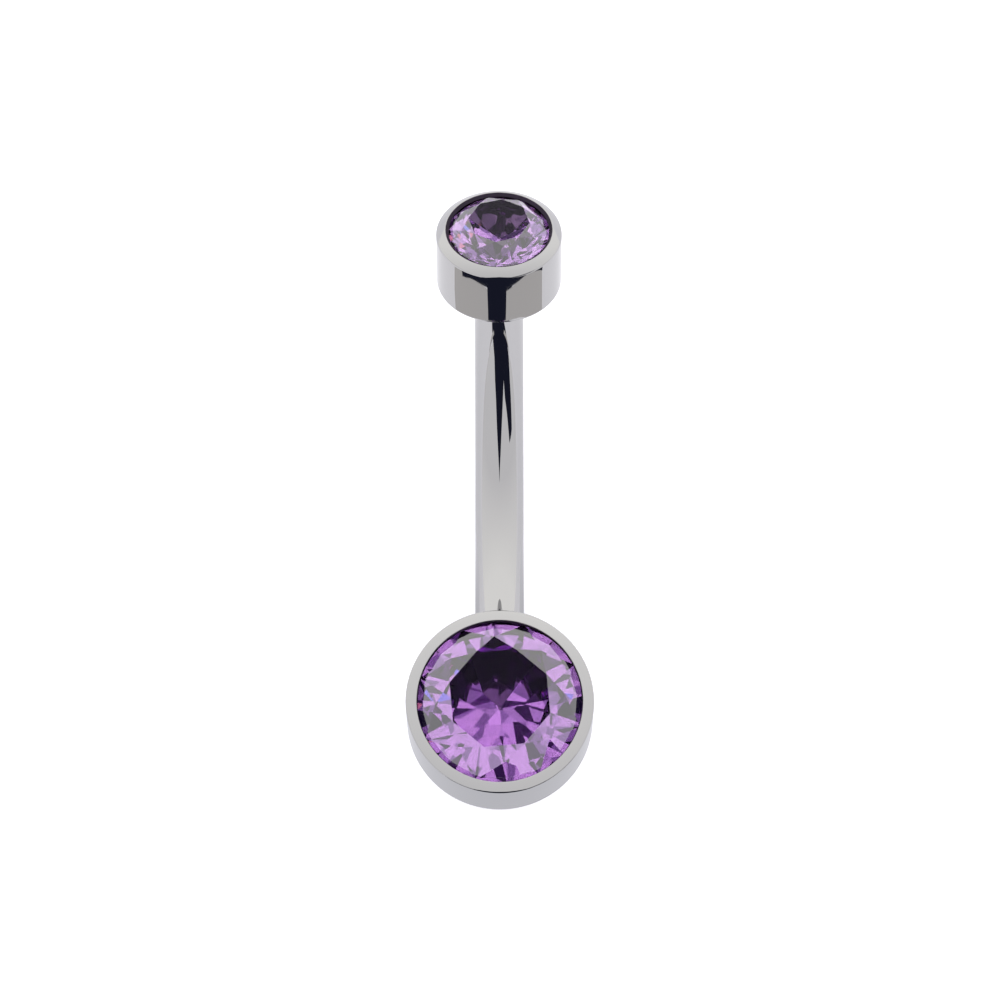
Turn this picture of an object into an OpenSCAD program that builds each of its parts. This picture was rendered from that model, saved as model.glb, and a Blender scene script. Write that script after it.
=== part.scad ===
// Curved navel ring: a bent round bar with a cut stone in a metal cup at each end.
// It lies on its back. The floor is z = 0, and the lower stone's axis is the Z axis.
// The bar runs along +Y and rises towards the smaller, upper cup.

/* [Bar] */
// Thickness of the round bar
bar_d = 1.6; // [1.2:0.1:1.8]
// Radius of the bend, measured to the middle of the bar
bend_r = 7.9; // [7.2:0.1:9.4]
// Distance from the lower stone's axis to the lowest point of the bend
bend_ahead = 5.8; // [5.2:0.1:6.6]
// Angle at which the open end of the bar rises from the floor
rise = 65; // [55:1:75]
// Straight length at the open end of the bar
straight_end = 0.46; // [0.4:0.02:2]
// How far the soldered end of the bar goes into the lower cup
bar_sink = 0.42; // [0.3:0.02:0.6]

/* [Screw end] */
// Thickness of the post under the upper cup
post_d = 1; // [0.8:0.05:1.1]
// Length of the post
post_len = 1.3; // [0.8:0.1:1.6]
// Gap round the post in its hole, on the radius
post_gap = 0.03; // [0.01:0.01:0.06]
// Depth of the hole past the end of the post
hole_spare = 0.15; // [0.05:0.05:0.4]
// Gap between the end of the bar and the upper cup
seat_gap = 0.02; // [0.01:0.01:0.05]

/* [Lower stone] */
// Width of the stone at its girdle
lower_stone_d = 5.4; // [4.6:0.1:6.2]
// Width of the table, from corner to corner
lower_table_d = 3.38; // [2.8:0.02:3.8]
// Height of the crown, from girdle to table
lower_crown_h = 0.58; // [0.4:0.02:0.9]
// Depth of the pavilion, below the girdle
lower_pavilion_h = 2.04; // [1.6:0.02:2.4]
// Turn of the facets about the stone's axis
lower_stone_turn = 27.5; // [0:0.5:45]

/* [Lower cup] */
// Metal wall beside the stone
lower_wall = 0.3; // [0.2:0.01:0.5]
// Metal under the point of the stone
lower_floor = 0.15; // [0.15:0.05:0.6]
// Height of the lip above the girdle
lower_lip_h = 0.22; // [0.16:0.01:0.4]
// How far the mouth widens from the lip's hold to its top
lower_lip_flare = 0.03; // [0.02:0.01:0.06]
// How far the rim falls from the mouth to the wall
lower_rim_drop = 0.09; // [0.08:0.01:0.12]
// Slope of the rim's face beside its edge
lower_rim_slope = 10; // [8:1:12]
// Radius of the tight edge between the rim's face and the wall
lower_rim_edge = 0.05; // [0.03:0.01:0.06]

/* [Upper stone] */
// Width of the stone at its girdle
upper_stone_d = 3.32; // [2.8:0.02:4]
// Width of the table, from corner to corner
upper_table_d = 1.96; // [1.6:0.02:2.2]
// Height of the crown, from girdle to table
upper_crown_h = 0.57; // [0.3:0.01:0.7]
// Depth of the pavilion, below the girdle
upper_pavilion_h = 1.28; // [1:0.02:1.5]
// Turn of the facets about the stone's axis
upper_stone_turn = 38.3; // [0:0.1:45]

/* [Upper cup] */
// Metal wall beside the stone
upper_wall = 0.32; // [0.25:0.01:0.5]
// Metal under the point of the stone
upper_floor = 0.7; // [0.4:0.01:1]
// Height of the lip above the girdle
upper_lip_h = 0.18; // [0.12:0.01:0.3]
// How far the mouth widens from the lip's hold to its top
upper_lip_flare = 0.1; // [0.02:0.01:0.12]
// How far the rim falls from the mouth to the wall
upper_rim_drop = 0.24; // [0.16:0.01:0.3]
// Slope of the rim's face beside its edge
upper_rim_slope = 41; // [30:1:45]
// Radius of the tight edge between the rim's face and the wall
upper_rim_edge = 0.08; // [0.04:0.01:0.1]

/* [Both cups] */
// Gap between a stone and its cup
stone_gap = 0.03; // [0.01:0.01:0.05]
// How far the lip covers the edge of the stone
lip_hold = 0.06; // [0.03:0.01:0.1]
// Flat ring between the rim's face and the mouth
rim_flat = 0.03; // [0.02:0.01:0.05]
// Rounding at the foot of the wall
foot_round = 0.1; // [0.05:0.01:0.2]

/* [Cut of both stones] */
// Thickness of the girdle
girdle_h = 0.05; // [0.03:0.01:0.1]
// Width of the small flat at the point of the pavilion
culet_d = 0.1; // [0.1:0.05:0.6]
// Star facet's length, as a share of the way from table to girdle
star_share = 0.45; // [0.35:0.05:0.6]
// Lower half facet's length, as a share of the way from girdle to culet
half_share = 0.75; // [0.6:0.05:0.85]

/* [Hidden] */
$fn = 96;
titanium = "#b9b8ba";
violet = "#8a55b8";
sides = 8;
step = 360 / sides;
round_steps = 9;
clear = 1;

// Radii and heights of a stone's corners, which its seat uses too
function ring_point(r, a, z) = [r * cos(a), r * sin(a), z];
function share_to(from, to, share) = from + (to - from) * share;
function flat_r(corner_r) = corner_r * cos(step / 2);
function star_r(d, table_d) = share_to(flat_r(table_d / 2), d / 2, star_share);
function half_r(d) = share_to(d / 2, culet_d / 2, half_share);
function crown_z(d, table_d, crown_h, r) = crown_h * (d / 2 - r) / (d / 2 - table_d / 2);
function pavilion_z(d, pavilion_h, r) =
    -girdle_h - pavilion_h * (d / 2 - r) / (d / 2 - flat_r(culet_d / 2));

// Corners of one stone. z = 0 is the top edge of the girdle.
function stone_points(d, table_d, crown_h, pavilion_h) = concat(
    [for (k = [0:sides - 1]) ring_point(table_d / 2, k * step, crown_h)],
    [for (k = [0:sides - 1]) ring_point(star_r(d, table_d), (k + 0.5) * step,
        crown_z(d, table_d, crown_h, flat_r(star_r(d, table_d))))],
    [for (j = [0:2 * sides - 1]) ring_point(d / 2, j * step / 2, 0)],
    [for (j = [0:2 * sides - 1]) ring_point(d / 2, j * step / 2, -girdle_h)],
    [for (k = [0:sides - 1]) ring_point(half_r(d), (k + 0.5) * step,
        pavilion_z(d, pavilion_h, flat_r(half_r(d))))],
    [for (k = [0:sides - 1]) ring_point(culet_d / 2, (k + 0.5) * step, -girdle_h - pavilion_h)]
);

// Where each ring of corners starts in that list
star_at = sides;
top_at = 2 * sides;
low_at = 4 * sides;
half_at = 6 * sides;
culet_at = 7 * sides;
function table_i(k) = k % sides;
function star_i(k) = star_at + (k + sides) % sides;
function top_i(j) = top_at + j % (2 * sides);
function low_i(j) = low_at + j % (2 * sides);
function half_i(k) = half_at + (k + sides) % sides;
function culet_i(k) = culet_at + (k + sides) % sides;

// Facets, each written anticlockwise as seen from outside the stone
stone_facets = concat(
    [[for (k = [0:sides - 1]) table_i(k)]],
    [for (k = [0:sides - 1]) [table_i(k), star_i(k), table_i(k + 1)]],
    [for (k = [0:sides - 1]) [table_i(k), star_i(k - 1), top_i(2 * k), star_i(k)]],
    [for (k = [0:sides - 1]) [star_i(k), top_i(2 * k), top_i(2 * k + 1)]],
    [for (k = [0:sides - 1]) [star_i(k), top_i(2 * k + 1), top_i(2 * k + 2)]],
    [for (j = [0:2 * sides - 1]) [low_i(j), low_i(j + 1), top_i(j + 1), top_i(j)]],
    [for (k = [0:sides - 1]) [half_i(k), low_i(2 * k + 1), low_i(2 * k)]],
    [for (k = [0:sides - 1]) [half_i(k), low_i(2 * k + 2), low_i(2 * k + 1)]],
    [for (k = [0:sides - 1])
        [low_i(2 * k), half_i(k - 1), culet_i(k - 1), culet_i(k), half_i(k)]],
    [[for (k = [sides - 1:-1:0]) culet_i(k)]]
);
function turned_over(facet) = [for (i = [len(facet) - 1:-1:0]) facet[i]];

// Heights of one cup, from its foot
function girdle_z(pavilion_h, floor_h) = floor_h + stone_gap + pavilion_h + girdle_h;
function cup_r(d, wall) = d / 2 + stone_gap + wall;

// Outline of the rim's face, which leaves its edge at a slope and flattens towards the mouth
function face_outline(edge_r, edge_z, slope, crest_r, h) =
    let (
        wide = edge_r - crest_r,
        rise_at_slope = wide * tan(slope)
    )
    [for (i = [1:round_steps]) let (t = i / round_steps)
        [edge_r - wide * t, edge_z + rise_at_slope * t + (h - edge_z - rise_at_slope) * t * t]];

// Outline of the outside of one cup: rounded foot, straight wall, tight edge, face of the rim
function cup_outline(r, h, crest_r, drop, slope, edge) = concat(
    [[0, 0]],
    [for (i = [0:round_steps]) let (a = 90 * i / round_steps)
        [r - foot_round + foot_round * sin(a), foot_round - foot_round * cos(a)]],
    [for (i = [0:round_steps]) let (a = (90 - slope) * i / round_steps)
        [r - edge + edge * cos(a), h - drop + edge * sin(a)]],
    face_outline(r - edge + edge * sin(slope), h - drop + edge * cos(slope), slope, crest_r, h),
    [[0, h]]
);

// Outline of the seat that is cut out for one stone, and of the mouth above it
function seat_outline(d, table_d, crown_h, pavilion_h, girdle, h, flare) =
    let (
        wide_r = d / 2 + stone_gap,
        lip_r = d / 2 - lip_hold,
        star = star_r(d, table_d),
        star_slope = crown_z(d, table_d, crown_h, flat_r(star)) / (d / 2 - star),
        half = half_r(d)
    )
    [
        [0, h + clear],
        [lip_r + flare, h + clear],
        [lip_r + flare, h],
        [lip_r, girdle + stone_gap + lip_hold * star_slope],
        [wide_r, girdle + stone_gap],
        [wide_r, girdle - girdle_h - stone_gap],
        [half + stone_gap, girdle + pavilion_z(d, pavilion_h, flat_r(half)) - stone_gap],
        [culet_d / 2 + stone_gap, girdle - girdle_h - pavilion_h - stone_gap],
        [0, girdle - girdle_h - pavilion_h - stone_gap]
    ];

lower_girdle = girdle_z(lower_pavilion_h, lower_floor);
lower_h = lower_girdle + lower_lip_h;
lower_r = cup_r(lower_stone_d, lower_wall);
lower_crest_r = lower_stone_d / 2 - lip_hold + lower_lip_flare + rim_flat;

upper_girdle = girdle_z(upper_pavilion_h, upper_floor);
upper_h = upper_girdle + upper_lip_h;
upper_r = cup_r(upper_stone_d, upper_wall);
upper_crest_r = upper_stone_d / 2 - lip_hold + upper_lip_flare + rim_flat;

// The bend's middle is above its lowest point, so that the bar's back touches the floor
bend_mid = [0, bend_ahead, bend_r + bar_d / 2];
bend_start = asin((lower_r - bar_sink - bend_ahead) / bend_r);
hole_len = post_len - seat_gap + hole_spare;

// Moves what it holds to the open end of the bar, with +Z out along the bar
module at_bar_end() {
    translate(bend_mid)
        rotate([rise - 90, 0, 0])
            translate([0, bend_r, straight_end])
                children();
}

// Moves what it holds to the foot of the upper cup
module at_upper_cup() {
    at_bar_end()
        translate([0, 0, seat_gap])
            children();
}

module cut_stone(d, table_d, crown_h, pavilion_h, turn) {
    rotate([0, 0, turn])
        polyhedron(
            points = stone_points(d, table_d, crown_h, pavilion_h),
            faces = [for (facet = stone_facets) turned_over(facet)]
        );
}

module bent_bar() {
    at_bar_end() {
        translate([0, -bend_r, -straight_end])
            rotate([0, -90, 0])
                rotate([0, 0, 90])
                    rotate_extrude(angle = rise - bend_start)
                        translate([bend_r, 0])
                            circle(d = bar_d);
        translate([0, 0, -straight_end])
            cylinder(d = bar_d, h = straight_end);
    }
}

// Bar and lower cup, soldered into one solid
module bar_and_lower_bezel() {
    color(titanium)
        difference() {
            union() {
                rotate_extrude()
                    polygon(cup_outline(lower_r, lower_h, lower_crest_r, lower_rim_drop,
                        lower_rim_slope, lower_rim_edge));
                bent_bar();
            }
            rotate_extrude()
                polygon(seat_outline(lower_stone_d, lower_table_d, lower_crown_h,
                    lower_pavilion_h, lower_girdle, lower_h, lower_lip_flare));
            at_bar_end()
                translate([0, 0, -hole_len])
                    cylinder(d = post_d + 2 * post_gap, h = hole_len + clear);
        }
}

module lower_stone() {
    color(violet)
        translate([0, 0, lower_girdle])
            cut_stone(lower_stone_d, lower_table_d, lower_crown_h, lower_pavilion_h,
                lower_stone_turn);
}

// Upper cup with the post that screws into the bar
module upper_bezel() {
    color(titanium)
        at_upper_cup()
            difference() {
                union() {
                    rotate_extrude()
                        polygon(cup_outline(upper_r, upper_h, upper_crest_r, upper_rim_drop,
                            upper_rim_slope, upper_rim_edge));
                    translate([0, 0, -post_len])
                        cylinder(d = post_d, h = post_len + upper_floor / 2);
                }
                rotate_extrude()
                    polygon(seat_outline(upper_stone_d, upper_table_d, upper_crown_h,
                        upper_pavilion_h, upper_girdle, upper_h, upper_lip_flare));
            }
}

module upper_stone() {
    color(violet)
        at_upper_cup()
            translate([0, 0, upper_girdle])
                cut_stone(upper_stone_d, upper_table_d, upper_crown_h, upper_pavilion_h,
                    upper_stone_turn);
}

bar_and_lower_bezel();
lower_stone();
upper_bezel();
upper_stone();
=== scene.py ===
# %% [markdown]
# # A bent navel ring with two violet stones
# The real ring is a polished metal bar, bent to a shallow curve. A large cup with a round
# brilliant-cut stone sits fast on one end, and a smaller cup with a stone like it is taken
# to screw into the other, as is usual. The ring lies on its back on a pale table. Its places
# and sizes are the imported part's own, and this script gives it its finish.

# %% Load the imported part
import math

import bpy
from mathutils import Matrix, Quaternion, Vector


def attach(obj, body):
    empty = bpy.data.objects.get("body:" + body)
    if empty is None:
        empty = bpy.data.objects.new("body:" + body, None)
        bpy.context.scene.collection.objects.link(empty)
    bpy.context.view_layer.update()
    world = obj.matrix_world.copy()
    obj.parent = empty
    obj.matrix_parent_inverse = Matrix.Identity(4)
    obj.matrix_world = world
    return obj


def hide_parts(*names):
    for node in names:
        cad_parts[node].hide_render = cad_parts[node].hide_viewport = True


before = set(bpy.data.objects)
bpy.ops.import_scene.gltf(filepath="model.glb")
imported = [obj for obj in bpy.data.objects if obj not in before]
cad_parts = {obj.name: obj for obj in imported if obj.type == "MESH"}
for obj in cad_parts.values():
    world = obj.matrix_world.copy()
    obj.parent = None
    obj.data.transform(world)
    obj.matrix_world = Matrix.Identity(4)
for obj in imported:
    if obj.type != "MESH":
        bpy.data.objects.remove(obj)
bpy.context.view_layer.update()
MM = 0.001
print("pieces of the part:", sorted(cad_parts))

# %% [markdown]
# ## A way to write shader maths
# A material is a graph of nodes, and sums in it are easier to read as sums. One small
# class wraps a socket, so that `1 - mask * 0.5` adds the Math nodes it needs. One method
# makes every other node from its type, its settings and what goes into its sockets.


# %% Sockets as numbers
class Signal:
    """One output socket that takes part in sums of values."""

    def __init__(self, recipe, socket):
        self.recipe, self.socket = recipe, socket

    def of(self, name):
        """Another output of the same node."""
        return Signal(self.recipe, self.socket.node.outputs[name])

    def sum_with(self, operation, first, second):
        return self.recipe.node("ShaderNodeMath", {"operation": operation}, {0: first, 1: second})

    def __add__(self, other):
        return self.sum_with("ADD", self, other)

    def __sub__(self, other):
        return self.sum_with("SUBTRACT", self, other)

    def __rsub__(self, other):
        return self.sum_with("SUBTRACT", other, self)

    def __mul__(self, other):
        return self.sum_with("MULTIPLY", self, other)

    __radd__ = __add__
    __rmul__ = __mul__


class Recipe:
    """The node graph of one material or of the world."""

    def __init__(self, tree):
        self.tree = tree
        tree.nodes.clear()

    def node(self, kind, settings=None, sockets=None, out=0):
        made = self.tree.nodes.new(kind)
        for name, value in (settings or {}).items():
            if name == "stops":
                ramp = made.color_ramp
                while len(ramp.elements) < len(value):
                    ramp.elements.new(1.0)
                for stop, (place, colour) in zip(ramp.elements, value):
                    stop.position, stop.color = place, colour
            else:
                setattr(made, name, value)
        for name, value in (sockets or {}).items():
            if isinstance(value, Signal):
                self.tree.links.new(value.socket, made.inputs[name])
            else:
                made.inputs[name].default_value = value
        return Signal(self, made.outputs[out]) if made.outputs else made


def new_material(name):
    material = bpy.data.materials.new(name)
    material.use_nodes = True
    return material, Recipe(material.node_tree)


print("shader helper ready")

# %% [markdown]
# ## Polished titanium
# A picture can't tell one grey metal from another. This one is taken as titanium, a darker
# mirror than silver, that was polished on a wheel until it mirrors the room. Nothing is flat
# after a polishing wheel, so a faint waviness bends the reflections, and a little haze in
# the roughness keeps them from looking like glass. Colour and haze vary by a few percent.

# %% Metal
METAL_DARK = (0.43, 0.43, 0.44, 1.0)
METAL_LIGHT = (0.47, 0.465, 0.465, 1.0)
HAZE_SCALE = 900.0
RUB_SCALE = 260.0
LEAST_HAZE = 0.015
HAZE_SPREAD = 0.02
titanium, recipe = new_material("polished_titanium")
place = recipe.node("ShaderNodeTexCoord", out="Object")
haze = recipe.node("ShaderNodeTexNoise", {}, {"Vector": place, "Scale": HAZE_SCALE, "Detail": 3.0})
rub = recipe.node("ShaderNodeTexNoise", {}, {"Vector": place, "Scale": RUB_SCALE, "Detail": 1.0})
tone = recipe.node(
    "ShaderNodeMix",
    {"data_type": "RGBA"},
    {"Factor": rub.of("Fac"), "A": METAL_DARK, "B": METAL_LIGHT},
    out="Result",
)
wave = recipe.node(
    "ShaderNodeBump", {}, {"Strength": 0.01, "Distance": 0.1 * MM, "Height": rub.of("Fac")}
)
metal = recipe.node(
    "ShaderNodeBsdfPrincipled",
    {},
    {
        "Base Color": tone,
        "Metallic": 1.0,
        "Roughness": LEAST_HAZE + haze.of("Fac") * HAZE_SPREAD,
        "Normal": wave,
    },
)
recipe.node("ShaderNodeOutputMaterial", {}, {"Surface": metal})
print("made", titanium.name)

# %% [markdown]
# ## The seat under the stone
# No wheel reaches the inside of a cup, so it stays dull. Its near-black colour is painted
# shade for the recess round and under the stone, with a faint random grain. It matters more
# than one expects: light that leaks out at the back of a stone is lost there, and those
# facets look black from above.

# %% Dull seat, painted dark as shade
# Painted shade: the seat's near-black colour stands for the shade in the recess round and under the
# stone, and the grain only varies it at random.
SEAT_DARK = (0.014, 0.008, 0.020, 1.0)
SEAT_LIGHT = (0.030, 0.019, 0.040, 1.0)
GRAIN_SCALE = 4000.0
SEAT_ROUGH = 0.45
GRAIN_SPREAD = 0.1
shaded_seat, recipe = new_material("shaded_seat")
place = recipe.node("ShaderNodeTexCoord", out="Object")
grain = recipe.node("ShaderNodeTexNoise", {}, {"Vector": place, "Scale": GRAIN_SCALE, "Detail": 2.0})
painted_seat_shade = recipe.node(
    "ShaderNodeMix",
    {"data_type": "RGBA"},
    {"Factor": grain.of("Fac"), "A": SEAT_DARK, "B": SEAT_LIGHT},
    out="Result",
)
dull = recipe.node(
    "ShaderNodeBsdfPrincipled",
    {},
    {
        "Base Color": painted_seat_shade,
        "Metallic": 0.6,
        "Roughness": SEAT_ROUGH + grain.of("Fac") * GRAIN_SPREAD,
    },
)
recipe.node("ShaderNodeOutputMaterial", {}, {"Surface": dull})
print("made", shaded_seat.name)

# %% [markdown]
# ## Violet stone
# The stones are taken as clear violet crystal glass. Light enters through the top, bounces
# off the facets at the back and comes out again, and the longer its way inside, the deeper
# the violet. So the surface is clear and the colour sits in the volume. STONE_IOR is higher
# than such glass has: it was chosen for the pattern of dark and light facets. The
# slanted crown facets have a hard, bright polish, while the flat table and the small facet
# behind it show hardly any reflection.

# %% Stone
STONE_IOR = 1.86
POLISH_IOR = 2.3
STONE_TINT = (0.97, 0.93, 0.98, 1.0)
STONE_VIOLET = (0.62, 0.26, 0.73, 1.0)
STONE_DEPTH = 380.0
FULL_SHINE = (1.0, 1.0, 1.0, 1.0)
WEAK_SHINE = (0.10, 0.08, 0.14, 1.0)
CROWN_POLISH = 0.55


def stone_material(name, shine, polish):
    made, recipe = new_material(name)
    surface = recipe.node(
        "ShaderNodeBsdfPrincipled",
        {},
        {
            "Base Color": STONE_TINT,
            "Roughness": 0.0,
            "IOR": STONE_IOR,
            "Transmission Weight": 1.0,
            "Specular Tint": shine,
            "Coat Weight": polish,
            "Coat Roughness": 0.0,
            "Coat IOR": POLISH_IOR,
        },
    )
    inside = recipe.node(
        "ShaderNodeVolumeAbsorption", {}, {"Color": STONE_VIOLET, "Density": STONE_DEPTH}
    )
    recipe.node("ShaderNodeOutputMaterial", {}, {"Surface": surface, "Volume": inside})
    return made


violet_stone = stone_material("violet_stone", FULL_SHINE, CROWN_POLISH)
violet_table = stone_material("violet_table", WEAK_SHINE, 0.0)
print("made", violet_stone.name, "and", violet_table.name)

# %% [markdown]
# ## Which facets reflect less
# A facet is told by the angle between its own normal and the stone's axis. The table lies
# square to the axis. The lower stone's stars, the small facets round its table, lean by less
# than 20 degrees, and of these the one that faces back is picked too. The upper stone is cut
# steeper, so none of its stars is picked. Its axis leans as the bar's end does.

# %% Tables and the back star
RISE = math.radians(65)
TABLE_LEVEL = math.cos(math.radians(5))
STAR_LEVEL = math.cos(math.radians(20))
FACES_BACK = 0.2
for name, axis in (
    ("lower_stone", Vector((0.0, 0.0, 1.0))),
    ("upper_stone", Vector((0.0, math.cos(RISE), math.sin(RISE)))),
):
    stone_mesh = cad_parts[name].data
    stone_mesh.materials.clear()
    stone_mesh.materials.append(violet_stone)
    stone_mesh.materials.append(violet_table)
    for face in stone_mesh.polygons:
        level = face.normal.dot(axis)
        back_star = level > STAR_LEVEL and face.normal.y > FACES_BACK
        face.material_index = 1 if level > TABLE_LEVEL or back_star else 0
    weak = sum(face.material_index for face in stone_mesh.polygons)
    print(name, "has", weak, "of", len(stone_mesh.polygons), "faces with a weak reflection")

# %% [markdown]
# ## Shells with exact normals
# A mirror shows every flaw in a surface's shading, so each metal shell carries the true
# normal of the turned or bent surface at each corner of each face. A ring of points is the
# one building block: rings joined in a row make a cup, a bar or a hole, and the row turns
# inward at an edge.

# %% Shell builder
TINY = 1e-9


class Shell:
    """Points, faces, and the surface's own normal at each corner of each face."""

    def __init__(self, materials):
        self.points, self.faces, self.normals = [], [], []
        self.materials, self.paint, self.painted = materials, 0, []

    def add_points(self, points):
        start = len(self.points)
        self.points += [Vector(p) for p in points]
        return list(range(start, len(self.points)))

    def add_face(self, corners, normals):
        self.faces.append(corners)
        self.painted.append(self.paint)
        self.normals += [n.normalized() for n in normals]

    def join_rings(self, ring, ring_normals, other, other_normals, skip=()):
        """Faces between two rings of equal length, or from a ring to a single middle point."""
        count = max(len(ring), len(other))
        for i in range(count):
            if i in skip:
                continue
            j = (i + 1) % count
            if len(ring) == 1:
                self.add_face(
                    [ring[0], other[j], other[i]],
                    [ring_normals[0], other_normals[j], other_normals[i]],
                )
            elif len(other) == 1:
                self.add_face(
                    [ring[i], ring[j], other[0]],
                    [ring_normals[i], ring_normals[j], other_normals[0]],
                )
            else:
                self.add_face(
                    [ring[i], ring[j], other[j], other[i]],
                    [ring_normals[i], ring_normals[j], other_normals[j], other_normals[i]],
                )

    def build(self, name):
        mesh = bpy.data.meshes.new(name)
        mesh.from_pydata([p * MM for p in self.points], [], self.faces)
        mesh.shade_smooth()
        for material in self.materials:
            mesh.materials.append(material)
        mesh.polygons.foreach_set("material_index", self.painted)
        mesh.normals_split_custom_set([tuple(n) for n in self.normals])
        made = bpy.data.objects.new(name, mesh)
        bpy.context.scene.collection.objects.link(made)
        print(name, "has", len(mesh.polygons), "faces")
        return made


class Axis:
    """A place and direction to turn rings about, in millimetres."""

    def __init__(self, origin, across, along):
        self.origin, self.across, self.along = Vector(origin), Vector(across), Vector(along)
        self.side = self.along.cross(self.across)

    def out(self, turn):
        return self.across * math.cos(turn) + self.side * math.sin(turn)


def turned(shell, axis, stretches, around, ring=None, holes=None):
    """Turns an outline about an axis, from its start or from a ring that is already there.
    A stretch is a list of (radius, height, normal outward, normal along), and two stretches
    share the ring where they meet. holes names the faces to leave out, by stretch and step."""
    turns = [math.tau * i / around for i in range(around)]
    for number, stretch in enumerate(stretches):
        before = None
        for step, (radius, height, outward, along) in enumerate(stretch):
            angles = turns if radius > TINY else turns[:1]
            normals = [axis.out(t) * outward + axis.along * along for t in angles]
            new = ring
            if step or ring is None:
                new = shell.add_points(
                    axis.origin + axis.out(t) * radius + axis.along * height for t in angles
                )
            if step:
                shell.join_rings(ring, before, new, normals, (holes or {}).get((number, step), ()))
            ring, before = new, normals
    return ring


def straight(start, end, steps=1):
    """A straight stretch of an outline, with its normal to the right of the way it runs."""
    (r0, z0), (r1, z1) = start, end
    length = math.hypot(r1 - r0, z1 - z0)
    outward, along = (z1 - z0) / length, (r0 - r1) / length
    return [
        (r0 + (r1 - r0) * i / steps, z0 + (z1 - z0) * i / steps, outward, along)
        for i in range(steps + 1)
    ]


def rounded(centre, radius, start, end, steps):
    """A stretch along a circle, from one angle to another in degrees, bulging outward."""
    angles = [math.radians(start + (end - start) * i / steps) for i in range(steps + 1)]
    return [
        (
            centre[0] + radius * math.cos(a),
            centre[1] + radius * math.sin(a),
            math.cos(a),
            math.sin(a),
        )
        for a in angles
    ]


def domed(start, end, slope, steps):
    """A stretch inward that leaves its start at a slope and flattens evenly to its end."""
    (r0, z0), (r1, z1) = start, end
    rise = (r0 - r1) * math.tan(slope)
    stretch = []
    for i in range(steps + 1):
        t = i / steps
        tilt = math.atan2(rise + 2 * t * (z1 - z0 - rise), r0 - r1)
        stretch.append(
            (r0 + (r1 - r0) * t, z0 + rise * t + (z1 - z0 - rise) * t * t, math.sin(tilt), math.cos(tilt))
        )
    return stretch


print("shell builder ready")

# %% [markdown]
# ## The cup's outline
# Such a cup is turned on a lathe. The stone is dropped in, and the lip is rubbed over its
# edge. So the outline has a rounded foot, a straight wall, a tight broken edge, the gently
# domed face of the rim, a thin mouth edge, and the seat that the stone lies in, which follows
# the stone at a small gap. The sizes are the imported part's own, in millimetres.

# %% Cup outline
AROUND_CUP = 288
STONE_GAP = 0.03
LIP_HOLD = 0.06
FOOT_ROUND = 0.1
RIM_FLAT = 0.03
MOUTH_EDGE = 0.018
GIRDLE_H = 0.05
CULET_R = 0.05
STAR_SHARE = 0.45
HALF_SHARE = 0.75
FACET_COS = math.cos(math.radians(22.5))
FOOT_STEPS = 8
EDGE_STEPS = 12
FACE_STEPS = 16
MOUTH_STEPS = 6
SEAT_STEPS = 3


def cup_stretches(stone, wall, floor_h, lip_h, flare, drop, slope, edge_r, wall_steps):
    """The outline of one cup from the foot over the rim to the mouth, the outline of the
    mouth and the seat, its outer radius and its height. The stone is given by its radius,
    its table's radius, and the heights of its crown and of its pointed lower part."""
    stone_r, table_r, crown_h, pavilion_h = stone
    girdle = floor_h + STONE_GAP + pavilion_h + GIRDLE_H
    radius, height = stone_r + STONE_GAP + wall, girdle + lip_h
    star_r = FACET_COS * table_r + (stone_r - FACET_COS * table_r) * STAR_SHARE
    star_z = crown_h * (stone_r - FACET_COS * star_r) / (stone_r - table_r)
    half_r = stone_r + (CULET_R - stone_r) * HALF_SHARE
    half_z = girdle - GIRDLE_H - pavilion_h * (stone_r - FACET_COS * half_r) / (
        stone_r - FACET_COS * CULET_R
    )
    lip = (stone_r - LIP_HOLD, girdle + STONE_GAP + LIP_HOLD * star_z / (stone_r - star_r))
    mouth = stone_r - LIP_HOLD + flare
    crest = mouth + RIM_FLAT
    seat = [
        (stone_r + STONE_GAP, girdle + STONE_GAP),
        (stone_r + STONE_GAP, girdle - GIRDLE_H - STONE_GAP),
        (half_r + STONE_GAP, half_z - STONE_GAP),
        (CULET_R + STONE_GAP, floor_h),
        (0.0, floor_h),
    ]
    mouth_mid = (mouth + MOUTH_EDGE, height - MOUTH_EDGE)
    wall_top = height - drop
    face_start = (
        radius - edge_r + edge_r * math.sin(slope),
        wall_top + edge_r * math.cos(slope),
    )
    stretches = [
        rounded((radius - FOOT_ROUND, FOOT_ROUND), FOOT_ROUND, -90, 0, FOOT_STEPS),
        straight((radius, FOOT_ROUND), (radius, wall_top), wall_steps),
        rounded((radius - edge_r, wall_top), edge_r, 0, 90 - math.degrees(slope), EDGE_STEPS),
        domed(face_start, (crest, height), slope, FACE_STEPS),
        straight((crest, height), (mouth_mid[0], height)),
        rounded(mouth_mid, MOUTH_EDGE, 90, 180, MOUTH_STEPS),
    ]
    corners = [(mouth, mouth_mid[1]), lip] + seat
    seat_stretches = [
        straight(start, end, SEAT_STEPS) for start, end in zip(corners, corners[1:])
    ]
    return stretches, seat_stretches, radius, height


lower_cup, lower_seat, lower_r, lower_h = cup_stretches(
    stone=(2.7, 1.69, 0.58, 2.04),
    wall=0.3,
    floor_h=0.15,
    lip_h=0.22,
    flare=0.03,
    drop=0.09,
    slope=math.radians(10),
    edge_r=0.05,
    wall_steps=60,
)
upper_cup, upper_seat, upper_r, upper_h = cup_stretches(
    stone=(1.66, 0.98, 0.57, 1.28),
    wall=0.32,
    floor_h=0.7,
    lip_h=0.18,
    flare=0.1,
    drop=0.24,
    slope=math.radians(41),
    edge_r=0.08,
    wall_steps=12,
)
print("cup sizes in mm:", round(lower_r, 3), round(lower_h, 3), round(upper_r, 3), round(upper_h, 3))

# %% [markdown]
# ## The bent bar
# The bar is a round wire, bent in a circle and left straight for its last half millimetre,
# where it is drilled for the upper cup's post. Its surface is a piece of a ring-shaped
# tube, so one function gives any point of it from its place along the bend and round the
# wire.

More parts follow.
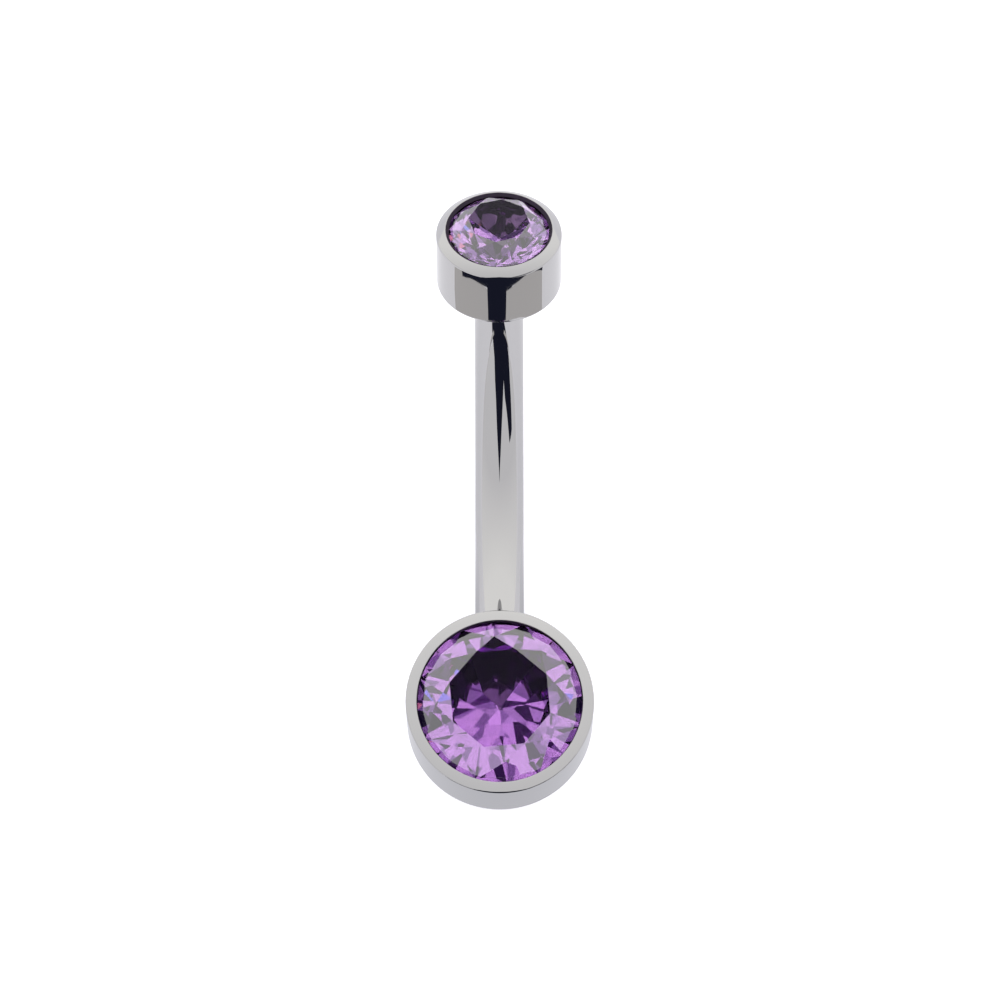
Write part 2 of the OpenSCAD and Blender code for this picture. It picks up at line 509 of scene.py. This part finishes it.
# %% Bar line
AROUND_BAR = 96
BAR_R = 0.8
BEND_R = 7.9
BEND_MID = Vector((0.0, 5.8, 8.7))
STRAIGHT_END = 0.46
ACROSS = Vector((1.0, 0.0, 0.0))


def bar_frame(bend):
    """The bar's middle, the way up across it and the way along it, at an angle of the bend."""
    up = Vector((0.0, -math.sin(bend), math.cos(bend)))
    return BEND_MID - up * BEND_R, up, Vector((0.0, math.cos(bend), math.sin(bend)))


def bar_point(bend, turn):
    middle, up, _ = bar_frame(bend)
    normal = up * math.cos(turn) + ACROSS * math.sin(turn)
    return middle + normal * BAR_R, normal


bend_end, end_up, end_along = bar_frame(RISE)
bar_end = Axis(bend_end + end_along * STRAIGHT_END, end_up, end_along)
bar_turns = [math.tau * i / AROUND_BAR for i in range(AROUND_BAR)]
print("open end of the bar in mm:", tuple(round(c, 3) for c in bar_end.origin))

# %% [markdown]
# ## The soldered joint
# The bar meets the large cup's wall in an oval, and solder fills the corner with a small
# hollow fillet. Cutting one mesh with another leaves ragged shading there, so the fillet
# is drawn between the two instead: for each line along the bar, a short curve leaves the
# bar and lies down on the wall.

# %% Fillet between bar and cup
FILLET = 0.14
FILLET_STEPS = 8
BEND_IN_CUP = math.radians(-30)
BEND_OUT_OF_CUP = math.radians(-10)
HALVINGS = 50


def on_wall(point):
    """A point of the cup's wall, unrolled: the way round it from the bar's side, and its height."""
    return lower_r * (math.atan2(point.y, point.x) - math.pi / 2), point.z


def from_wall(flat):
    turn = flat[0] / lower_r + math.pi / 2
    return Vector((lower_r * math.cos(turn), lower_r * math.sin(turn), flat[1]))


def meeting_bend(turn):
    """The bend angle at which one line along the bar meets the cup's wall."""
    low, high = BEND_IN_CUP, BEND_OUT_OF_CUP
    for _ in range(HALVINGS):
        middle = (low + high) / 2
        point = bar_point(middle, turn)[0]
        low, high = (middle, high) if math.hypot(point.x, point.y) < lower_r else (low, middle)
    return low


meeting = [meeting_bend(turn) for turn in bar_turns]
oval = [on_wall(bar_point(bend, turn)[0]) for bend, turn in zip(meeting, bar_turns)]
fillet_bends = [
    bend + FILLET / (BEND_R - BAR_R * math.cos(turn)) for bend, turn in zip(meeting, bar_turns)
]
skirt = []
for i, (u, z) in enumerate(oval):
    (u0, z0), (u1, z1) = oval[i - 1], oval[(i + 1) % AROUND_BAR]
    size = math.hypot(u1 - u0, z1 - z0)
    skirt.append((u + FILLET * (z1 - z0) / size, z - FILLET * (u1 - u0) / size))
print("the joint is", round(max(z for _, z in skirt) - min(z for _, z in skirt), 2), "mm tall")

# %% [markdown]
# ## The opening for the joint
# The real cup has no opening: the bar is soldered to its wall. In one closed shell the wall
# can't run on under the fillet, so the faces that the fillet covers, and a narrow margin
# round them, are left out. Their outline is a stair of the wall's own corners.

# %% Opening in the wall
WALL_MARGIN = 0.05
NEAR_JOINT = 2.0
SAME_WAY = 0.15
WALL_STRETCH = 2
oval_mid = (0.0, (max(z for _, z in skirt) + min(z for _, z in skirt)) / 2)


def ring_corner(u, z):
    """The angle of a place on the unrolled wall, round the joint's middle."""
    return math.atan2(z - oval_mid[1], u - oval_mid[0])


def inside_skirt(u, z):
    """True within the skirt's outline, or just outside it."""
    turn = ring_corner(u, z)
    reach = max(
        math.hypot(a - oval_mid[0], b - oval_mid[1])
        for a, b in skirt
        if abs((ring_corner(a, b) - turn + math.pi) % math.tau - math.pi) < SAME_WAY
    )
    return math.hypot(u - oval_mid[0], z - oval_mid[1]) < reach + WALL_MARGIN


wall = lower_cup[1]
holes, opening = {}, set()
for step in range(1, len(wall)):
    z = (wall[step - 1][1] + wall[step][1]) / 2
    for i in range(AROUND_CUP):
        u = lower_r * ((i + 0.5) * math.tau / AROUND_CUP - math.pi / 2)
        if abs(u) < NEAR_JOINT and inside_skirt(u, z):
            holes.setdefault((WALL_STRETCH, step), set()).add(i)
            opening |= {(s, j) for s in (step - 1, step) for j in (i, i + 1)}
edge = [
    (step, i)
    for step, i in opening
    if any(
        s < 1 or j not in holes.get((WALL_STRETCH, s), ())
        for s, j in ((step, i), (step, i - 1), (step + 1, i), (step + 1, i - 1))
    )
]
print("the opening takes", sum(len(gap) for gap in holes.values()), "faces out of the wall")

# %% [markdown]
# ## The lower cup
# The cup is turned round its axis in one go: the flat foot, the wall with its opening, the
# rim and, from the mouth inward, the seat in its dull finish with painted shade. A strip of
# triangles then joins the stair of the opening with the fillet's outline. Every corner there
# carries the wall's own normal, so the strip doesn't show in the reflections.

# %% Lower cup
TOUCHING = 1e-6
DIGITS = 5


def near(point):
    """A place rounded, so that two ways of working it out give the same key."""
    return tuple(round(c, DIGITS) for c in point)


metal_shell = Shell([titanium, shaded_seat])
cup_axis = Axis((0, 0, 0), (1, 0, 0), (0, 0, 1))
foot = [straight((0, 0), (lower_r - FOOT_ROUND, 0))]
mouth_ring = turned(metal_shell, cup_axis, foot + lower_cup, AROUND_CUP, holes=holes)
# From the mouth inward the seat takes the dark seat material, whose colour is painted shade.
metal_shell.paint = 1
turned(metal_shell, cup_axis, lower_seat, AROUND_CUP, ring=mouth_ring)
metal_shell.paint = 0

edge_flat = [(lower_r * (i * math.tau / AROUND_CUP - math.pi / 2), wall[s][1]) for s, i in edge]
by_place = {}
for number, point in enumerate(metal_shell.points):
    if abs(math.hypot(point.x, point.y) - lower_r) < TOUCHING:
        by_place[near(point)] = number
edge_ring = sorted((ring_corner(u, z), by_place[near(from_wall((u, z)))]) for u, z in edge_flat)
skirt_start = metal_shell.add_points(from_wall(flat) for flat in skirt)
skirt_ring = sorted((ring_corner(*flat), number) for flat, number in zip(skirt, skirt_start))


def wall_normal(number):
    point = metal_shell.points[number]
    return Vector((point.x, point.y, 0.0))


def close_gap(outer, inner):
    """Triangles between two rings that run round the same middle, each a list of (angle, point)."""
    i = j = 0
    while i < len(outer) or j < len(inner):
        next_outer = outer[i + 1][0] if i + 1 < len(outer) else outer[0][0] + math.tau
        next_inner = inner[j + 1][0] if j + 1 < len(inner) else inner[0][0] + math.tau
        here, there = outer[i % len(outer)][1], inner[j % len(inner)][1]
        if j >= len(inner) or (i < len(outer) and next_outer <= next_inner):
            i += 1
            corners = [here, outer[i % len(outer)][1], there]
        else:
            j += 1
            corners = [inner[j % len(inner)][1], there, here]
        metal_shell.add_face(corners, [wall_normal(number) for number in corners])


close_gap(edge_ring, skirt_ring)
print("the lower cup has", len(metal_shell.faces), "faces so far")

# %% [markdown]
# ## The fillet and the bar
# From the fillet's outline the same shell grows on: row by row up the hollow of the solder,
# then ring by ring along the bend, and at last over the bar's blunt end into the hole for
# the post. The result is one closed shell, like the real metal.

# %% Fillet and bar
BAR_STEPS = 150
END_ROUND = 0.04
END_STEPS = 4
END_ROUND_STEPS = 5
HOLE_R = 0.53
HOLE_LEN = 1.43

rows = []
for step in range(FILLET_STEPS + 1):
    share = step / FILLET_STEPS
    row = []
    for bend, end_bend, turn, flat in zip(meeting, fillet_bends, bar_turns, skirt):
        corner, leave = bar_point(bend, turn)[0], bar_point(end_bend, turn)[0]
        land = from_wall(flat)
        row.append(
            land * (1 - share) ** 2 + corner * (2 * share * (1 - share)) + leave * share**2
        )
    rows.append(row)


def row_normals(step):
    if step == 0:
        return [Vector((p.x, p.y, 0.0)) for p in rows[0]]
    if step == FILLET_STEPS:
        return [bar_point(bend, turn)[1] for bend, turn in zip(fillet_bends, bar_turns)]
    row = rows[step]
    return [
        (row[(i + 1) % AROUND_BAR] - row[i - 1]).cross(rows[step + 1][i] - rows[step - 1][i])
        for i in range(AROUND_BAR)
    ]


ring, normals = skirt_start, row_normals(0)
for step in range(1, FILLET_STEPS + 1):
    new, new_normals = metal_shell.add_points(rows[step]), row_normals(step)
    metal_shell.join_rings(ring, normals, new, new_normals)
    ring, normals = new, new_normals

for step in range(1, BAR_STEPS + 1):
    share = step / BAR_STEPS
    made = [
        bar_point(start + (RISE - start) * share, turn)
        for start, turn in zip(fillet_bends, bar_turns)
    ]
    new, new_normals = metal_shell.add_points(p for p, _ in made), [n for _, n in made]
    metal_shell.join_rings(ring, normals, new, new_normals)
    ring, normals = new, new_normals

turned(
    metal_shell,
    bar_end,
    [
        straight((BAR_R, -STRAIGHT_END), (BAR_R, -END_ROUND), END_STEPS),
        rounded((BAR_R - END_ROUND, -END_ROUND), END_ROUND, 0, 90, END_ROUND_STEPS),
        straight((BAR_R - END_ROUND, 0), (HOLE_R + END_ROUND, 0)),
        straight((HOLE_R + END_ROUND, 0), (HOLE_R, -END_ROUND)),
        straight((HOLE_R, -END_ROUND), (HOLE_R, -HOLE_LEN)),
        straight((HOLE_R, -HOLE_LEN), (0, -HOLE_LEN)),
    ],
    AROUND_BAR,
    ring=ring,
)
soldered = metal_shell.build("bar_with_cup")
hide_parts("bar_and_lower_bezel")
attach(soldered, "bar")

# %% [markdown]
# ## The upper cup
# The small cup and the post that screws it into the bar are turned from one rod, so they
# are one outline: up the post, out across the foot, and over the rim into the seat.

# %% Upper cup and post
SEAT_GAP = 0.02
POST_R = 0.5
POST_LEN = 1.3
POST_EDGE = 0.08
POST_STEPS = 4
cap_shell = Shell([titanium, shaded_seat])
cap_axis = Axis(bar_end.origin + end_along * SEAT_GAP, end_up, end_along)
post = [
    straight((0, -POST_LEN), (POST_R - POST_EDGE, -POST_LEN)),
    straight((POST_R - POST_EDGE, -POST_LEN), (POST_R, POST_EDGE - POST_LEN)),
    straight((POST_R, POST_EDGE - POST_LEN), (POST_R, 0), POST_STEPS),
    straight((POST_R, 0), (upper_r - FOOT_ROUND, 0)),
]
mouth_ring = turned(cap_shell, cap_axis, post + upper_cup, AROUND_CUP)
# From the mouth inward the seat takes the dark seat material, whose colour is painted shade.
cap_shell.paint = 1
turned(cap_shell, cap_axis, upper_seat, AROUND_CUP, ring=mouth_ring)
cap = cap_shell.build("upper_cup")
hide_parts("upper_bezel")
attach(cap, "upper_end")

# %% [markdown]
# ## The table
# The ring lies on a plain white table. The table is lifted to pure white for the camera
# alone, because a table lit brightly enough to look pure white would be too bright in the
# metal.

# %% Table
TABLE_SIZE = 3.0
TABLE_GLOW = 0.2
CAMERA_LIFT = 0.3
table_mesh = bpy.data.meshes.new("pale_table")
half_table = TABLE_SIZE / 2
table_mesh.from_pydata(
    [(x * half_table, y * half_table, 0.0) for x, y in ((-1, -1), (1, -1), (1, 1), (-1, 1))],
    [],
    [(0, 1, 2, 3)],
)
table = bpy.data.objects.new("pale_table", table_mesh)
bpy.context.scene.collection.objects.link(table)
table_paint, recipe = new_material("white_table")
paint = recipe.node(
    "ShaderNodeBsdfPrincipled",
    {},
    {
        "Base Color": (0.88, 0.88, 0.90, 1.0),
        "Roughness": 0.9,
        "Emission Color": (0.85, 0.85, 1.0, 1.0),
        "Emission Strength": TABLE_GLOW,
    },
)
looked_at = recipe.node("ShaderNodeLightPath", out="Is Camera Ray")
bright = recipe.node(
    "ShaderNodeEmission", {}, {"Color": (1.0, 1.0, 1.0, 1.0), "Strength": CAMERA_LIFT}
)
lifted = recipe.node("ShaderNodeAddShader", {}, {0: paint, 1: bright})
table_look = recipe.node("ShaderNodeMixShader", {}, {0: looked_at, 1: paint, 2: lifted})
recipe.node("ShaderNodeOutputMaterial", {}, {"Surface": table_look})
table_mesh.materials.append(table_paint)
print("table ready,", TABLE_SIZE, "m wide")

# %% [markdown]
# ## The room
# A mirror shows the room, so the room is the look: a tent of white cloth that is brighter
# behind the ring than in front of it. A cut stone needs contrast to sparkle, so the light
# that comes out of a stone is looked up in a room of light and dark patches instead, with a
# rare warm or blue one for the flecks of split light.

# %% Room
CLOTH_FRONT = (1.03, 1.02, 1.03, 1.0)
CLOTH_BEHIND = (1.38, 1.37, 1.34, 1.0)
BRIGHTENS_FROM = -0.2
BRIGHTENS_TO = 0.6
PATCH_SCALE = 5.0
PATCH_SHIFT = (3.1, 0.7, 1.9)
PATCH_COLOURS = (
    (0.0, (0.07, 0.04, 0.11, 1.0)),
    (0.22, (0.50, 0.47, 0.62, 1.0)),
    (0.46, (0.95, 0.95, 1.06, 1.0)),
    (0.72, (1.35, 1.35, 1.42, 1.0)),
    (0.975, (1.3, 0.8, 0.6, 1.0)),
    (0.985, (0.5, 0.8, 1.6, 1.0)),
)
world = bpy.data.worlds.new("bright_room")
bpy.context.scene.world = world
world.use_nodes = True
recipe = Recipe(world.node_tree)
way = recipe.node("ShaderNodeTexCoord", out="Generated")
backward = recipe.node("ShaderNodeSeparateXYZ", {}, {"Vector": way}, out="Y")
behind = (backward - BRIGHTENS_FROM) * (1 / (BRIGHTENS_TO - BRIGHTENS_FROM))
cloth = recipe.node(
    "ShaderNodeMix",
    {"data_type": "RGBA", "clamp_factor": True},
    {"Factor": behind, "A": CLOTH_FRONT, "B": CLOTH_BEHIND},
    out="Result",
)
shifted = recipe.node(
    "ShaderNodeVectorMath", {"operation": "ADD"}, {0: way, 1: PATCH_SHIFT}, out="Vector"
)
patch = recipe.node(
    "ShaderNodeTexVoronoi", {}, {"Vector": shifted, "Scale": PATCH_SCALE}, out="Color"
)
pick = recipe.node("ShaderNodeSeparateColor", {}, {"Color": patch}, out="Red")
patches = recipe.node("ShaderNodeValToRGB", {"stops": PATCH_COLOURS}, {"Fac": pick}, out="Color")
patches.socket.node.color_ramp.interpolation = "CONSTANT"
through_stone = recipe.node("ShaderNodeLightPath", out="Is Transmission Ray")
seen = recipe.node(
    "ShaderNodeMix",
    {"data_type": "RGBA"},
    {"Factor": through_stone, "A": cloth, "B": patches},
    out="Result",
)
light = recipe.node("ShaderNodeBackground", {}, {"Color": seen, "Strength": 1.0})
recipe.node("ShaderNodeOutputWorld", {}, {"Surface": light})
print("room ready, with", len(PATCH_COLOURS), "colours of patches for the stones")

# %% [markdown]
# ## How a card is made
# The tent is open in front, and a rounded mirror squeezes that dark opening into a thin
# dark stripe. Cards stand in for such shapes. Each card is a sheet given by rows of azimuths
# that it covers, at an elevation on a dome or at a distance on a level. Mirrored rays alone
# see the cards, so they don't shade the table. A card low in the air shows its upper side
# only, so what lies beneath it stays clear. Where the side of such a card slants, its rows
# are close together, because a long face between two rows could turn over and show from
# below.

# %% Card maker
CARD_DISTANCE = 400.0
CARD_MIDDLE = Vector((0.0, 6.0, 3.0))
CARD_STEPS = 24


def direction(azimuth, elevation):
    """A unit vector: azimuth 0 is the front, and positive is to the right."""
    a, e = math.radians(azimuth), math.radians(elevation)
    return Vector((math.sin(a) * math.cos(e), -math.cos(a) * math.cos(e), math.sin(e)))


def glow(name, colour):
    """A plain light of one colour."""
    made, recipe = new_material(name)
    lit = recipe.node("ShaderNodeEmission", {}, {"Color": (*colour, 1.0), "Strength": 1.0})
    recipe.node("ShaderNodeOutputMaterial", {}, {"Surface": lit})
    return made


def glow_from_above(name, colour):
    """A plain light that shows on one side only, so that what lies below a card doesn't see it."""
    made, recipe = new_material(name)
    lit = recipe.node("ShaderNodeEmission", {}, {"Color": (*colour, 1.0), "Strength": 1.0})
    clear = recipe.node("ShaderNodeBsdfTransparent")
    upper_side = recipe.node("ShaderNodeNewGeometry", out="Backfacing")
    one_sided = recipe.node("ShaderNodeMixShader", {}, {0: upper_side, 1: clear, 2: lit})
    recipe.node("ShaderNodeOutputMaterial", {}, {"Surface": one_sided})
    return made


def card(name, rows, material, place=None, in_stones=False):
    """A card from rows of (elevation or distance, left azimuth, right azimuth).
    Only mirrored rays see it, and with in_stones also those that leave a stone."""
    wide = CARD_STEPS + 1
    points = [
        (place or on_dome)(left + (right - left) * i / CARD_STEPS, reach)
        for reach, left, right in rows
        for i in range(wide)
    ]
    faces = [
        (r * wide + i, r * wide + i + 1, (r + 1) * wide + i + 1, (r + 1) * wide + i)
        for r in range(len(rows) - 1)
        for i in range(CARD_STEPS)
    ]
    mesh = bpy.data.meshes.new(name)
    mesh.from_pydata(points, [], faces)
    mesh.materials.append(material)
    made = bpy.data.objects.new(name, mesh)
    bpy.context.scene.collection.objects.link(made)
    made.visible_camera = made.visible_diffuse = made.visible_shadow = False
    made.visible_transmission = in_stones
    return made


def on_dome(azimuth, elevation):
    """A place on the dome, by azimuth and elevation."""
    return (CARD_MIDDLE + direction(azimuth, elevation) * CARD_DISTANCE) * MM


def level_round(middle, height):
    """Places at a height, by azimuth and distance from a middle, all in millimetres."""

    def at(azimuth, reach):
        way = direction(azimuth, 0.0) * reach
        return Vector((middle[0] + way.x, middle[1] + way.y, height)) * MM

    return at


print("card maker ready")

# %% [markdown]
# ## The tall dark shapes in front
# These make the dark stripe on the bar. A wide stand carries a mast that narrows upward, and
# an arm reaches to the right, whose image is the fork in the stripe. A dark strip on the
# table, from the ring to the front, is what the small cup's wall mirrors. Stand and mast
# also show in the stones.

# %% Stand, mast, arm and strip
on_table = level_round((0.0, 2.0), 0.05)
navy_black = glow("navy_black", (0.015, 0.017, 0.034))
stand_rows = (
    (-2, -24, 32),
    (3, -22.5, 40),
    (10, -20, 48),
    (14, -20, 56),
    (19, -20, 67),
    (22.7, -20, 67),
)
mast_rows = (
    (22.7, -20, 21),
    (34, -18, 20),
    (50, -17, 17),
    (64, -12, 13.6),
    (72, -6, 8),
    (79, 2, 4),
)
arm_rows = ((22.7, 21, 67), (27, 26, 66), (30, 30.4, 65), (32, 43.6, 64), (33, 55, 64))
floor_rows = (
    (7.5, -31, 19),
    (11.8, -31, 19),
    (11.8, -46, 40),
    (14.7, -44, 30),
    (61, -29, 35),
    (148, -25, 36),
    (900, -24, 34),
)
card("front_stand", stand_rows, navy_black, in_stones=True)
card("front_mast", mast_rows, navy_black, in_stones=True)
card("front_arm", arm_rows, navy_black)
card("front_floor", floor_rows, navy_black, on_table)
print("four dark cards in front")

# %% [markdown]
# ## The cards low in the air
# The small cup's wall mirrors what lies just in front of it and below it: navy in the middle
# and at the two edges, with grey between them. The grey cards are painted shade: they stand
# for the shaded table between the cups, and only mirrored rays see them. The joint strip
# carries the bar's dark stripe up to the small cup. All of these lie level, about 4 mm above
# the table, and the grey ones a hair lower than the navy ones, so that the navy shows where
# they overlap.

# %% Navy cards, and grey cards of painted shade
in_the_air = level_round((0.1, 8.0), 4.0)
just_below = level_round((0.1, 8.0), 3.98)
near_joint = level_round((0.0, 13.0), 4.4)
navy_above = glow_from_above("navy_above", (0.016, 0.018, 0.036))
# Painted shade: a grey glow that the small cup's wall mirrors as the shaded table between the cups.
mirrored_shade_grey = glow_from_above("mirrored_shade_grey", (0.74, 0.72, 0.71))
left_edge_rows = [(6.4 + 0.06 * i, -95, 5.7 * i - 86) for i in range(11)] + [(8.3, -85, -29)]
right_edge_rows = [(6.45 + 0.0375 * i, 96 - 5 * i, 112) for i in range(17)] + [(8.3, 16, 95)]
joint_rows = ((2.4, -15, 14), (3.6, -17, 15.5), (5.0, -16.5, 15.5), (6.3, -14.5, 14), (7.2, -13, 12))
front_strip_rows = ((4.05, -34, 18.5), (5.0, -31.5, 18), (8.3, -28.5, 16.5))
grey_left_rows = ((4.0, -126, -25), (4.9, -122, -25), (5.9, -118, -25), (6.9, -113, -25))
grey_right_rows = ((4.0, 14, 127), (4.8, 14, 122), (5.6, 14, 116), (6.3, 14, 112), (6.9, 14, 108))
card("left_edge", left_edge_rows, navy_above, in_the_air)
card("right_edge", right_edge_rows, navy_above, in_the_air)
card("joint_strip", joint_rows, navy_above, near_joint)
card("front_strip", front_strip_rows, navy_above, in_the_air)
# The two grey cards carry the painted shade between the cups.
card("grey_left", grey_left_rows, mirrored_shade_grey, just_below)
card("grey_right", grey_right_rows, mirrored_shade_grey, just_below)
print("four navy and two grey cards in the air")

# %% [markdown]
# ## The shade round the large cup
# A real cup shades the table round its foot, and its polished wall mirrors that soft shade.
# The shade is a thin glowing ring on the table that only mirrored rays see. It is grey near
# the wall and fades outward towards the brightness of the table.

# %% Shade on the table
SHADE_GREY = (0.76, 0.76, 0.81, 1.0)
SHADE_FADED = (1.04, 1.04, 1.1, 1.0)
SHADE_GAP = 0.01
SHADE_START = 3.7
SHADE_END = 6.5
round_cup = level_round((0.0, 0.0), 0.02)
cup_shade, recipe = new_material("cup_shade")
from_cup = recipe.node(
    "ShaderNodeVectorMath",
    {"operation": "LENGTH"},
    {0: recipe.node("ShaderNodeTexCoord", out="Object")},
    out="Value",
)
fade = recipe.node(
    "ShaderNodeMapRange",
    {"interpolation_type": "SMOOTHSTEP"},
    {"Value": from_cup, "From Min": SHADE_START * MM, "From Max": SHADE_END * MM},
)
shade = recipe.node(
    "ShaderNodeMix",
    {"data_type": "RGBA"},
    {"Factor": fade, "A": SHADE_GREY, "B": SHADE_FADED},
    out="Result",
)
lit = recipe.node(
    "ShaderNodeBsdfPrincipled",
    {},
    {
        "Base Color": (0.0, 0.0, 0.0, 1.0),
        "Specular IOR Level": 0.0,
        "Emission Color": shade,
        "Emission Strength": 1.0,
    },
)
recipe.node("ShaderNodeOutputMaterial", {}, {"Surface": lit})
shade_rows = ((lower_r + SHADE_GAP, -180, 180), (SHADE_END, -180, 180))
card("near_floor", shade_rows, cup_shade, round_cup)
print("shade on the table out to", SHADE_END, "mm")

# %% [markdown]
# ## The camera
# The camera keeps the photograph's angle to the ring. The ring lies on its back here, so the
# camera looks down at its front from 73 degrees above the table. A long lens keeps the far
# end from looking smaller. The camera is placed by one point of the ring, LOOK_AT, and by
# where in the square frame of 1000 pixels that point shows.

# %% Camera
LOOK_AT = Vector((0.0, 6.0, 3.0))
LOOK_UP_FROM = math.radians(73.07)
DISTANCE = 130.0
FOCAL_PX = 4012.0
FRAME_PX = 1000.0
SHOWN_AT = (499.46, 516.98)
ROLL = math.radians(-0.08)
SENSOR_MM = 36.0
NEAREST = 0.01
FARTHEST = 10.0


def aimed(way):
    """The turn of a camera that stands this way from what it looks at."""
    return way.to_track_quat("Z", "Y") @ Quaternion((0.0, 0.0, 1.0), ROLL)


toward = Vector((0.0, -math.cos(LOOK_UP_FROM), math.sin(LOOK_UP_FROM)))
camera_data = bpy.data.cameras.new("camera")
camera = bpy.data.objects.new("camera", camera_data)
bpy.context.scene.collection.objects.link(camera)
camera_data.sensor_width = SENSOR_MM
camera_data.lens = SENSOR_MM * FOCAL_PX / FRAME_PX
camera_data.clip_start, camera_data.clip_end = NEAREST, FARTHEST
per_px = DISTANCE / FOCAL_PX
offset = aimed(toward) @ Vector(
    ((FRAME_PX / 2 - SHOWN_AT[0]) * per_px, (SHOWN_AT[1] - FRAME_PX / 2) * per_px, 0.0)
)
place_of_camera = LOOK_AT + toward * DISTANCE
centre = LOOK_AT + offset
camera.location = place_of_camera * MM
camera.rotation_mode = "QUATERNION"
camera.rotation_quaternion = aimed(place_of_camera - centre)
bpy.context.scene.camera = camera
print("camera at", tuple(round(c, 4) for c in camera.location), "lens", round(camera_data.lens, 1))

# %% [markdown]
# ## Colours and bounces
# The Standard view shows the colours as the shaders give them. Light bounces many times
# inside a cut stone before it comes out, so it is followed further than Blender's own 12
# bounces, and through the mirrors and the stones as well.

# %% Colours and bounces
BOUNCES = 24
cycles = bpy.context.scene.cycles
bpy.context.scene.view_settings.view_transform = "Standard"
cycles.max_bounces = cycles.transmission_bounces = cycles.glossy_bounces = BOUNCES
cycles.caustics_refractive = cycles.caustics_reflective = True
print("light is followed for", BOUNCES, "bounces")
